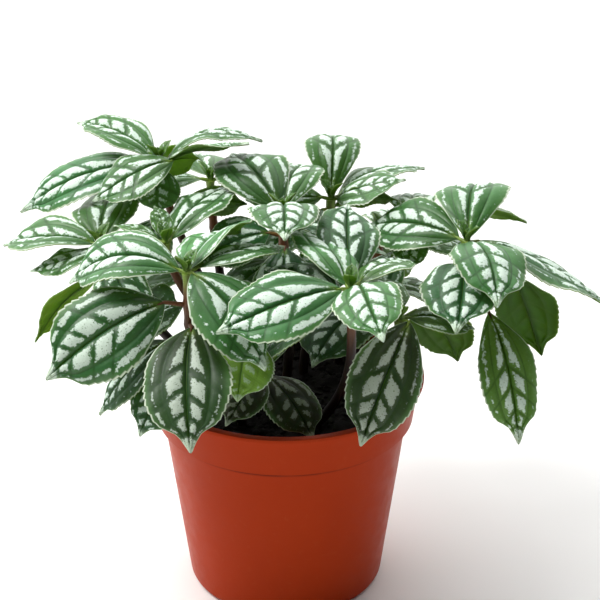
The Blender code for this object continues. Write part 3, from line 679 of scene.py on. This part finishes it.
def new_disc(name, facets, radius, z):
    """A flat disc of a radius at a height, in metres, from which a round shape is drawn out."""
    deselect()
    bpy.ops.mesh.primitive_circle_add(vertices=facets, radius=radius, fill_type="NGON", location=(0, 0, z))
    disc = bpy.context.object
    disc.name = name
    settle(disc)
    return disc


def edit_all(kind):
    """Go into edit mode, with all of the active object selected by its edges or faces."""
    bpy.ops.object.mode_set(mode="EDIT")
    bpy.ops.mesh.select_mode(type=kind)
    bpy.ops.mesh.select_all(action="SELECT")


def draw_out(section):
    """Draw the selected round edge out through a section's radii and heights, and close its end."""
    for (radius, z), (wider, higher) in zip(section, section[1:]):
        bpy.ops.mesh.extrude_edges_move(TRANSFORM_OT_translate={"value": (0, 0, (higher - z) * MM)})
        bpy.ops.transform.resize(value=(wider / radius, wider / radius, 1))
    bpy.ops.mesh.edge_face_add()
    bpy.ops.mesh.select_all(action="SELECT")
    bpy.ops.mesh.normals_make_consistent(inside=False)
    bpy.ops.object.mode_set(mode="OBJECT")


def pot_section():
    """Half section of the pot from the flat disc out, up the outside, over the lip and down inside."""
    collar_z = POT_HEIGHT - COLLAR_DEPTH
    ring = FOOT_RADIUS - FOOT_EDGE
    taper = (BODY_TOP_RADIUS - FOOT_RADIUS) / collar_z
    floor = RECESS + WALL
    turns = [math.radians(degrees) for degrees in (18, 36, 54, 72, 90)]
    return [
        (DISC_RADIUS, 0), (DISC_RADIUS + RECESS, RECESS),
        (ring - RING_WIDTH - RECESS, RECESS), (ring - RING_WIDTH, 0), (ring, 0),
        *((ring + FOOT_EDGE * math.sin(turn), FOOT_EDGE * (1 - math.cos(turn))) for turn in turns),
        (BODY_TOP_RADIUS, collar_z - COLLAR_LEDGE), (COLLAR_FOOT_RADIUS, collar_z),
        (COLLAR_TOP_RADIUS, POT_HEIGHT - LIP_DEPTH), (LIP_RADIUS, POT_HEIGHT - LIP_DEPTH),
        (LIP_RADIUS, POT_HEIGHT), (COLLAR_TOP_RADIUS - WALL, POT_HEIGHT),
        (COLLAR_FOOT_RADIUS - WALL, collar_z + WALL - COLLAR_LEDGE),
        (BODY_TOP_RADIUS - WALL, collar_z - COLLAR_LEDGE),
        (FOOT_RADIUS + taper * (floor + FOOT_EDGE) - WALL, floor + FOOT_EDGE),
        (FOOT_RADIUS + taper * floor - WALL - FOOT_EDGE, floor)]


def make_pot(plastic):
    """The pot: a disc drawn out ring by ring, drilled at its base, its edges eased."""
    pot = new_disc("nursery_pot", POT_FACETS, DISC_RADIUS * MM, 0)
    edit_all("EDGE")
    draw_out(pot_section())
    drills = []
    for k in range(DRAIN_HOLES):
        turn = 2 * math.pi * (k + DRAIN_TURN) / DRAIN_HOLES
        spot = (DRAIN_CIRCLE * math.cos(turn) * MM, DRAIN_CIRCLE * math.sin(turn) * MM, 0)
        deselect()
        bpy.ops.mesh.primitive_cylinder_add(
            vertices=DRILL_FACETS, radius=DRAIN_RADIUS * MM, depth=4 * (RECESS + WALL) * MM,
            location=spot)
        drills.append(bpy.context.object)
    drill = merged(drills, "drill")
    cut = pot.modifiers.new("Drain holes", "BOOLEAN")
    cut.object = drill
    cut.operation = "DIFFERENCE"
    ease = pot.modifiers.new("Eased edges", "BEVEL")
    ease.width = EASED_EDGE * MM
    ease.segments = 3
    ease.limit_method = "ANGLE"
    ease.angle_limit = math.radians(EASED_FROM)
    apply_modifiers(pot)
    bpy.data.objects.remove(drill)
    coat(pot, plastic)
    finish(pot, POT_SHARP, "pot")


def make_soil(peat):
    """The soil: a round block whose top is drawn in by rings, roughened, and strewn with crumbs."""
    draw = random.Random(SOIL_SEED)
    radius, z = SOIL_SIDE[0]
    soil = new_disc("peat_soil", SOIL_FACETS, radius * MM, z * MM)
    edit_all("FACE")
    for _ in range(SOIL_RINGS):
        bpy.ops.mesh.inset(thickness=SOIL_RING_WIDTH * MM)
    bpy.ops.mesh.poke()
    bpy.ops.object.mode_set(mode="OBJECT")
    for vertex in soil.data.vertices:
        spot = vertex.co / MM
        if spot.xy.length < radius - 0.5:
            rough = noise.fractal(spot / SOIL_LUMP, 0.9, 2.1, 4)
            vertex.co.z = (SOIL_TOP - SOIL_ROUGH + SOIL_ROUGH * rough) * MM
    edit_all("EDGE")
    bpy.ops.mesh.region_to_loop()
    draw_out(SOIL_SIDE)
    soil = merged([soil, strew_crumbs(draw, radius)], "peat_soil")
    coat(soil, peat)
    finish(soil, SOIL_SHARP, "soil")


def strew_crumbs(draw, radius):
    """Crumbs of peat: a few kinds of lump, each knocked out of round, copied over the surface."""
    kinds = []
    for k in range(CRUMB_KINDS):
        deselect()
        bpy.ops.mesh.primitive_ico_sphere_add(subdivisions=2 if k == 0 else 1, radius=1)
        lump = bpy.context.object
        for vertex in lump.data.vertices:
            vertex.co *= 1 + CRUMB_KNOCKS * noise.noise(vertex.co * 1.3 + Vector((5.0 * k, 0, 0)))
        kinds.append(lump)
    mesh = bmesh.new()
    for _ in range(CRUMBS):
        lump = kinds[draw.randrange(CRUMB_KINDS)].data.copy()
        size = draw.uniform(0.6, 1.5) ** 2
        reach = (radius - CRUMB_CLEAR) * math.sqrt(draw.random())
        turn = draw.uniform(0, 2 * math.pi)
        stretch = Matrix.Diagonal((size * draw.uniform(0.8, 1.9), size, size * draw.uniform(0.5, 0.9), 1))
        swing = Matrix.Rotation(draw.uniform(0, math.pi), 4, "Z")
        swing = swing @ Matrix.Rotation(draw.gauss(0, 0.4), 4, "X")
        spot = Vector((reach * math.cos(turn), reach * math.sin(turn), SOIL_TOP - SOIL_ROUGH))
        lump.transform(Matrix.Scale(MM, 4) @ Matrix.Translation(spot) @ swing @ stretch)
        mesh.from_mesh(lump)
        bpy.data.meshes.remove(lump)
    for kind in kinds:
        bpy.data.objects.remove(kind)
    strewn = new_object("crumbs", bpy.data.meshes.new("crumbs"))
    mesh.to_mesh(strewn.data)
    mesh.free()
    return strewn


def unit(rows):
    """Rows of vectors, each brought to length 1."""
    return rows / np.linalg.norm(rows, axis=-1, keepdims=True)


def pointing(heading, rise):
    """A unit vector from a compass heading about +Z and a rise above level, in degrees."""
    turn = math.radians(heading)
    lift = math.radians(rise)
    return np.array((math.cos(lift) * math.cos(turn), math.cos(lift) * math.sin(turn), math.sin(lift)))


def smooth_step(values, low, high):
    """0 below low, 1 above high and an even curve between."""
    share = np.clip((values - low) / (high - low), 0, 1)
    return share * share * (3 - 2 * share)


def stem_point(stem, up):
    """A place on the stem's curve, 0 where it leaves the soil and 1 at its top."""
    foot = np.array((*stem["foot"], 0.0))
    sway = np.array((*stem["sway"], 0.0))
    head = np.array(stem["head"], float)
    rise = head[2] - SOIL_TOP
    start = foot + (0, 0, SOIL_TOP + STEM_CLEAR)
    lower = foot + sway + (0, 0, SOIL_TOP + LOW_BEND * rise)
    upper = head - (0, 0, TOP_BEND * rise)
    down = 1 - up
    return down ** 3 * start + 3 * down ** 2 * up * lower + 3 * down * up ** 2 * upper + up ** 3 * head


class Blade:
    """The middle surface of one leaf blade, for many places at once."""

    def __init__(self, base, row):
        self.base = base
        self.length = row["length"]
        self.arch = row["arch"]
        self.half = row.get("half", HALF_WIDTH * self.length)
        self.fold = row.get("fold", BLADE_FOLD)
        self.right_fold = row.get("right_fold", self.fold)
        self.twist = 0.0
        self.bend = 0.0
        turn = math.radians(row["heading"])
        level = np.array((-math.sin(turn), math.cos(turn), 0))
        self.along = pointing(row["heading"], row["rise"])
        upward = np.cross(self.along, level)
        roll = math.radians(row["roll"])
        self.across = level * math.cos(roll) + upward * math.sin(roll)
        self.up = upward * math.cos(roll) - level * math.sin(roll)

    def rib(self, s):
        """The midrib, bowed upward."""
        bow = 4 * self.arch * self.length * s * (1 - s) * (BOW_AT_FOOT - BOW_FALL * s)
        aside = self.bend * self.length * s * (1 - s)
        straight = self.base + np.outer(self.length * s, self.along)
        return straight + np.outer(bow, self.up) + np.outer(aside, self.across)

    def half_width(self, s):
        """Half the blade's width: widest past the middle, with a drawn-out tip."""
        tip = np.clip((s - TIP_FROM) / (1 - TIP_FROM), 0, 1)
        width = self.half * np.sin(np.pi * np.clip(s, 0, 1)) ** ROUNDNESS * (1 - TIP_NARROWING * tip)
        width = width * (1 - DRIP_TIP * smooth_step(s, DRIP_FROM, DRIP_TO))
        return np.where(s < 0.5, np.maximum(width, LEAST_HALF_WIDTH), width)

    def point(self, s, t):
        """Places on the blade, creased up from the midrib and cupped down at the margins."""
        width = self.half_width(s)[:, None]
        along = unit(self.rib(s + 0.001) - self.rib(s - 0.001))
        up = unit(self.up - (along @ self.up)[:, None] * along)
        fold = np.where(t < 0, self.right_fold, self.fold)
        lift = (fold * np.abs(t) - BLADE_CUP * t * t + self.twist * s * t)[:, None]
        return self.rib(s) + self.across * width * t[:, None] + up * width * lift

    def normal(self, s, t):
        """The blade's upper side at places."""
        s = np.clip(s, 0.04, 0.96)
        lengthwise = self.point(s + 0.02, t) - self.point(s - 0.02, t)
        crosswise = self.point(s, t + 0.1) - self.point(s, t - 0.1)
        return unit(np.cross(lengthwise, crosswise))


def flat_blade(lanes, rows):
    """A flat sheet for one blade, s along X and t along Y, its last row drawn to a point at the tip."""
    deselect()
    bpy.ops.mesh.primitive_grid_add(
        x_subdivisions=len(rows) - 1, y_subdivisions=2 * (len(lanes) - 1), size=2)
    sheet = bpy.context.object
    sides = [-lane for lane in reversed(lanes[1:])] + list(lanes)
    for vertex in sheet.data.vertices:
        row = round((vertex.co.x + 1) / 2 * (len(rows) - 1))
        lane = round((vertex.co.y + 1) / 2 * (len(sides) - 1))
        vertex.co = (rows[row], sides[lane], 0)
    bpy.ops.object.mode_set(mode="EDIT")
    bpy.ops.mesh.select_mode(type="VERT")
    bpy.ops.mesh.select_all(action="DESELECT")
    bpy.ops.object.mode_set(mode="OBJECT")
    for vertex in sheet.data.vertices:
        vertex.select = vertex.co.x == rows[-1]
    bpy.ops.object.mode_set(mode="EDIT")
    bpy.ops.mesh.merge(type="CENTER")
    bpy.ops.object.mode_set(mode="OBJECT")
    return sheet


def blade_rows():
    """Where the rows of a full blade lie: close at the foot and the tip, and three to each tooth."""
    rows = list(FOOT_ROWS)
    pitch = (TEETH_TO - TEETH_FROM) / TEETH
    for k in range(TEETH):
        rows += [TEETH_FROM + pitch * (k + part) for part in TOOTH_ROWS]
    return rows + list(TIP_ROWS)


def toothed(s, t):
    """Push the margin out into small saw teeth that lean to the tip."""
    tooth = (s - TEETH_FROM) / (TEETH_TO - TEETH_FROM) * TEETH
    toothy = (s >= TEETH_FROM) & (s < TEETH_TO)
    saw = np.where(toothy, (tooth % 1) / TOOTH_PEAK - TOOTH_BASE, 0)
    return t * (1 + TOOTH_OUT * saw * smooth_step(np.abs(t), 0.8, 1))


def points_of(item):
    """A mesh's points, one row each."""
    places = np.empty(3 * len(item.data.vertices))
    item.data.vertices.foreach_get("co", places)
    return places.reshape(-1, 3)


def set_attribute(item, name, values):
    """Give each point of a mesh its value, or its three, under the name that its material reads."""
    if values.ndim == 1:
        item.data.attributes.new(name, "FLOAT", "POINT").data.foreach_set("value", values)
    else:
        item.data.attributes.new(name, "FLOAT_VECTOR", "POINT").data.foreach_set("vector", values.ravel())


def vein_cells(s, t, width, blade, draw):
    """How many cross veins lie between each place and the foot, and how many mm apart they are."""
    slanted = s - VEIN_SLANT * np.abs(t) * width / blade.half
    cell = np.zeros(len(s))
    for half in (t <= 0, t > 0):
        veins = np.array(CROSS_VEINS) + [draw.uniform(-VEIN_STRAY, VEIN_STRAY) for _ in CROSS_VEINS]
        cell[half] = np.interp(slanted[half], veins, np.arange(len(veins)))
    cell_mm = np.interp(slanted, CROSS_VEINS[:-1], np.diff(CROSS_VEINS)) * blade.length * CELL_SLANTED
    return cell, cell_mm


def margin_wave(s, t, blade, draw):
    """How far the blade waves up and down, in mm, most at its margins and not at its ends."""
    phase = draw.uniform(0, 2 * math.pi)
    height = draw.uniform(*WAVE_HEIGHT) * blade.length * np.abs(t) ** 3 * np.sin(np.pi * s)
    return height * np.sin(2 * math.pi * (draw.uniform(*WAVES) * s + 0.2 * np.sign(t)) + phase)


def lay_blade(sheet, blade, youth, fresh, draw):
    """A copy of the flat sheet laid on a blade: veins sunk, lanes puffed, margin toothed and waved.

    youth and fresh go into its attributes, with the pattern of its silver.
    """
    item = new_object("blade", sheet.data.copy())
    blade.twist = draw.uniform(-TWIST, TWIST)
    blade.bend = draw.uniform(-ASIDE, ASIDE)
    s, t, _ = points_of(item).T
    width = blade.half_width(s)
    cell, cell_mm = vein_cells(s, t, width, blade, draw)
    silver = silver_rows(s, t, cell, width, draw)
    lift = vein_relief(s, np.abs(t), cell, cell_mm, blade, width) + margin_wave(s, t, blade, draw)
    points = blade.point(s, toothed(s, t)) + blade.normal(s, t) * lift[:, None]
    item.data.vertices.foreach_set("co", (points * MM).ravel())
    set_attribute(item, "silver", np.stack([silver, cell, cell_mm], 1))
    set_attribute(item, "place", np.stack([s, t, np.full(len(s), youth)], 1))
    tone = fresh + TONE_LEAST + TONE_BY_HEIGHT * smooth_step(blade.base[2], *LIT_HEIGHTS)
    set_attribute(item, "tone", np.full(len(s), tone + TONE_BY_CHANCE * draw.random()))
    return item


def silver_rows(s, t, cell, width, draw):
    """How far inside a row of silver each place is, in mm: an inner row and a row of outer spots.

    bold is how broad this leaf's silver is. The inner row is narrow at the foot, swells past it and
    fills the tip, and an outer spot has a size of its own in each cell.
    """
    away = np.abs(t)
    number = np.clip(np.floor(cell), 0, len(CROSS_VEINS) - 1).astype(int)
    bold = draw.uniform(*BOLDNESS)
    low = INNER_ROW[0] + 0.05 * smooth_step(s, 0.3, 0.0) - 0.02 * bold
    high = INNER_ROW[1] + (INNER_ROW_SWELL + 0.05 * bold) * smooth_step(s, 0.06, 0.55)
    high -= 0.05 * smooth_step(s, 0.6, 0.85)
    high += 0.6 * smooth_step(s, 0.87, 0.95)
    inner = np.minimum(away - low, high - away) * width
    spots = np.array([[draw.uniform(*SPOT_SIZES) for _ in CROSS_VEINS] for _ in range(2)])
    spots[:, 1] += 0.4
    half = SPOT_HALF * (spots[(t > 0).astype(int), number] + 0.3 * bold)
    outer = (half - np.abs(away - OUTER_ROW - 0.06 * smooth_step(s, 0.4, 0.2))) * width
    foot = (s - SILVER_FROM) * SILVER_ONSET
    return np.minimum(np.maximum(inner, outer), foot)


def vein_relief(s, away, cell, cell_mm, blade, width):
    """Height of the quilted surface: sunk along the main and the cross veins, puffed between."""
    from_vein = (0.5 - np.abs(cell % 1 - 0.5)) * cell_mm
    lanes = np.abs(np.sin(np.pi * np.clip(away, 0, 1) / SIDE_VEIN * 0.97)) ** 0.8
    puff = lanes * (1 - 0.6 * np.exp(-(from_vein / CROSS_VEIN_WIDTH) ** 2)) * smooth_step(s, 0.0, 0.2)
    puff *= 1 - 0.55 * smooth_step(away, 0.5, 0.9)
    groove = np.exp(-(away * width / RIB_GROOVE_WIDTH) ** 2) * smooth_step(s, 1.0, 0.85)
    return blade.length / QUILTED_LENGTH * (PUFF * puff - RIB_GROOVE * groove)


def round_stalks(name, lines, material):
    """Round stalks along lines of places and radii, made one mesh of one material."""
    curve = bpy.data.curves.new(name, "CURVE")
    curve.dimensions = "3D"
    curve.bevel_depth = MM
    curve.bevel_resolution = 3
    curve.use_fill_caps = True
    for path, radii in lines:
        spline = curve.splines.new("POLY")
        spline.points.add(len(path) - 1)
        for point, place, radius in zip(spline.points, path, radii):
            point.co = (*(np.array(place) * MM), 1)
            point.radius = radius
        spline.use_smooth = True
    pick(new_object(name, curve))
    bpy.ops.object.convert(target="MESH")
    item = bpy.context.object
    item.data.materials.append(material)
    return item


def stem_line(stem):
    """Places and radii up a stem, from its foot in the soil, swollen where leaves grow."""
    path = [np.array((*stem["foot"], SOIL_TOP - STEM_DEPTH))]
    radii = [STEM_RADIUS]
    for up in np.linspace(0, 1, STEM_RINGS):
        swell = sum(math.exp(-((up - row["up"]) / NODE_LENGTH) ** 2) for row in stem["leaves"])
        path.append(stem_point(stem, up))
        radii.append(STEM_RADIUS - (STEM_RADIUS - STEM_TIP_RADIUS) * up + NODE_SWELLING * min(swell, 1))
    return path, radii


def petiole_line(start, blade):
    """Places and radii along a petiole, which runs on into the foot of its blade, thinning."""
    reach = np.linalg.norm(blade.base - start)
    path = []
    radii = []
    for k in range(PETIOLE_RINGS):
        part = k / (PETIOLE_RINGS - 1)
        bow = PETIOLE_BOW * reach * 4 * part * (1 - part) * (reach > BOWED_FROM)
        path.append(start + (blade.base - start) * part + (0, 0, bow))
        radii.append(PETIOLE_RADIUS * (1 - PETIOLE_TAPER * part) * min(1, blade.length / 30 + 0.3))
    path += list(blade.point(np.array((0.02, 0.05)), np.zeros(2)))
    radii += [0.6 * radii[-1], 0.3 * radii[-1]]
    return path, radii


def stalks(stem, blades, stem_skin):
    """The stem and its petioles, with the height up the stem in tone."""
    lines = [stem_line(stem)] + [petiole_line(start, blade) for start, blade in blades]
    item = round_stalks("stalks", lines, stem_skin)
    rise = (points_of(item)[:, 2] / MM - SOIL_TOP) / (stem["head"][2] - SOIL_TOP)
    set_attribute(item, "tone", np.clip(rise, 0, 1))
    return item


def ribs(blades, underside):
    """The midrib that stands out under each blade, thinning to the tip."""
    s = np.linspace(0.02, 0.9, RIB_RINGS)
    middle = np.zeros(RIB_RINGS)
    lines = []
    for _, blade in blades:
        ridge = blade.point(s, middle) - blade.normal(s, middle) * RIB_DROP
        lines.append((ridge, RIB_RADIUS * (1 - RIB_TAPER * s) * min(1, blade.length / 30 + 0.2)))
    return round_stalks("ribs", lines, underside)


def youth_of(row):
    """How young a leaf is: as its row says, or a little where it is short and near the top."""
    near_top = max(0, 1 - (1 - row["up"]) / 0.12)
    short = max(0, 1.6 - row["length"] / 40)
    return row.get("youth", 0.25 * near_top * short)


def make_stem(name, stem, sheets, materials, draw):
    """One leafy stem: its blades laid out and thickened, and its stalks, joined into one piece."""
    full_sheet, young_sheet = sheets
    leaves = []
    blades = []
    for row in stem["leaves"]:
        start = stem_point(stem, row["up"])
        leaving = pointing(row.get("leave_heading", row["heading"]), row.get("leave_rise", PETIOLE_RISE))
        blade = Blade(start + leaving * row["petiole"], row)
        leaves.append(lay_blade(full_sheet, blade, youth_of(row), row.get("fresh", 0), draw))
        blades.append((start, blade))
    top = np.array(stem["head"], float)
    for turn, rise, length in YOUNG_LEAVES:
        heading = stem["leaves"][0]["heading"] + turn
        row = leaf(1, heading, rise, length, half=YOUNG_SLIM * length, fold=YOUNG_FOLD)
        blade = Blade(top + pointing(heading, rise) * YOUNG_PETIOLE, row)
        leaves.append(lay_blade(young_sheet, blade, YOUTH_OF_YOUNG, 0, draw))
        blades.append((top, blade))
    foliage = merged(leaves, "foliage")
    coat(foliage, *materials)
    thick = foliage.modifiers.new("Thickness", "SOLIDIFY")
    thick.thickness = BLADE_THICK * MM
    thick.offset = 0
    thick.material_offset = 1
    thick.material_offset_rim = 1
    apply_modifiers(foliage)
    _, underside, stem_skin = materials
    grown = [foliage, stalks(stem, blades, stem_skin), ribs(blades, underside)]
    piece = merged(grown, name + "_foliage")
    finish(piece, PLANT_SHARP, name)


def make_floor(board):
    """A round white board far wider than the pot."""
    floor = new_disc("studio_floor", FLOOR_FACETS, FLOOR_RADIUS, FLOOR_HEIGHT)
    floor.data.materials.append(board)


def light_studio():
    """Soft white light all round, brightest behind and above, with a softbox high on the left."""
    world = bpy.data.worlds.new("studio")
    world.use_nodes = True
    tree = world.node_tree
    way = add(tree, "TexCoord", out="Generated")
    rise = add(tree, "VectorMath", (way, SKY_SLOPE), "Value", operation="DOT_PRODUCT")
    sky = tree.nodes["Background"]
    sky.inputs["Color"].default_value = (1, 1, 1, 1)
    feed(tree, sky, Strength=add(tree, "MapRange", (rise, *SKY_FROM_TO), **SMOOTH))
    bpy.context.scene.world = world
    light = bpy.data.lights.new("key", "AREA")
    light.size = KEY_SIZE
    light.energy = KEY_POWER
    light.color = KEY_COLOUR
    softbox = new_object("key", light)
    softbox.location = KEY_PLACE
    softbox.rotation_euler = (KEY_AIM - KEY_PLACE).to_track_quat("-Z", "Y").to_euler()


def place_camera():
    """The photograph's point of view."""
    data = bpy.data.cameras.new("camera")
    data.lens = CAMERA_LENS
    camera = new_object("camera", data)
    camera.location = [value * MM for value in CAMERA_PLACE]
    camera.rotation_euler = (math.radians(CAMERA_TILT), 0, 0)
    bpy.context.scene.camera = camera


def main():
    """Make every piece, with the camera first."""
    place_camera()
    make_pot(moulded_polypropylene())
    make_soil(damp_peat())
    draw = random.Random(LEAF_SEED)
    sheets = (flat_blade(BLADE_LANES, blade_rows()), flat_blade(YOUNG_LANES, YOUNG_ROWS))
    materials = (silvered_leaf(), leaf_underside(), living_stem())
    for name, stem in STEMS.items():
        make_stem(name, stem, sheets, materials, draw)
    for sheet in sheets:
        bpy.data.objects.remove(sheet)
    make_floor(white_board())
    light_studio()
    bpy.context.scene.view_settings.view_transform = "Standard"


main()
